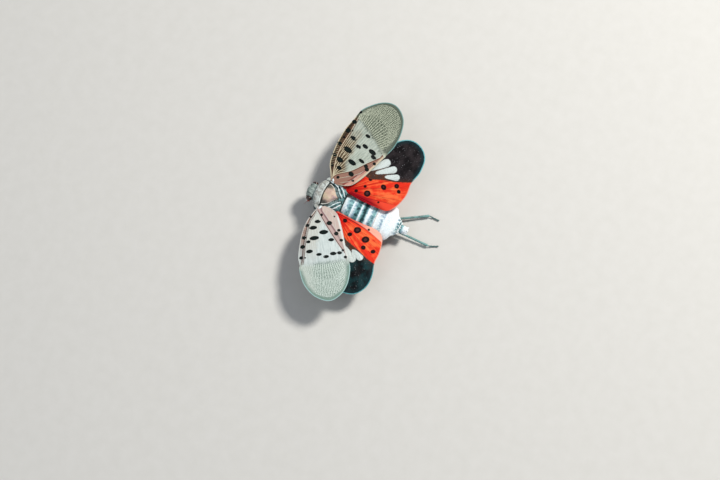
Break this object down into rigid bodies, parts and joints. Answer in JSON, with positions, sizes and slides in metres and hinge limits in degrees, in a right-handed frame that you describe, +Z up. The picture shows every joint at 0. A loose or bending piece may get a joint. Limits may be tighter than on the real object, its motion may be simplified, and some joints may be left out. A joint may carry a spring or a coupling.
{
  "type": "spotted lanternfly",
  "caption": "Still life-size model of a spotted lanternfly with half-spread wings: spotted grey forewings over red, white and black hindwings, and a white banded abdomen.",
  "frame": {"origin": "on the floor, under the middle of the bounding box", "axes": "+Z up out of the insect's back, -Y towards its head, +X towards its left wings"},
  "size_m": [0.0441, 0.0287, 0.008],
  "materials": {
    "cuticle": "matt grey, pitted",
    "eye": "dark and glossy",
    "antenna": "orange-red, beaded",
    "pronotum": "matt pale grey, pitted",
    "mesonotum": "satin pinkish brown with pale rims",
    "wax": "powdery white over blue-grey bands",
    "forewing": "satin grey-cream with black spots and a netted tip",
    "hindwing": "satin red with black spots, white patches and a black tip",
    "leg": "dark with a blue-grey bloom"
  },
  "bodies": {
    "root": {"head": "cuticle", "eye_left": "eye", "eye_right": "eye", "antenna_left": "antenna", "antenna_right": "antenna", "rostrum": "leg", "thorax": "cuticle", "pronotum": "pronotum", "mesonotum": "mesonotum", "metanotum": "wax", "tegula_left": "pronotum", "tegula_right": "pronotum", "abdomen_segment_1": "wax", "abdomen_segment_2": "wax", "abdomen_segment_3": "wax", "abdomen_segment_4": "wax", "abdomen_segment_5": "wax", "abdomen_segment_6": "wax", "abdomen_segment_7": "wax", "anal_tube": "wax", "forewing_left": "forewing", "forewing_right": "forewing", "hindwing_left": "hindwing", "hindwing_right": "hindwing", "front_leg_left_coxa": "leg", "front_leg_left_femur": "leg", "front_leg_left_tibia": "leg", "front_leg_left_tarsus": "leg", "front_leg_right_coxa": "leg", "front_leg_right_femur": "leg", "front_leg_right_tibia": "leg", "front_leg_right_tarsus": "leg", "middle_leg_left_coxa": "leg", "middle_leg_left_femur": "leg", "middle_leg_left_tibia": "leg", "middle_leg_left_tarsus": "leg", "middle_leg_right_coxa": "leg", "middle_leg_right_femur": "leg", "middle_leg_right_tibia": "leg", "middle_leg_right_tarsus": "leg", "hind_leg_left_coxa": "leg", "hind_leg_left_femur": "leg", "hind_leg_left_tibia": "leg", "hind_leg_left_tarsus": "leg", "hind_leg_right_coxa": "leg", "hind_leg_right_femur": "leg", "hind_leg_right_tibia": "leg", "hind_leg_right_tarsus": "leg"}
  },
  "joints": []
}
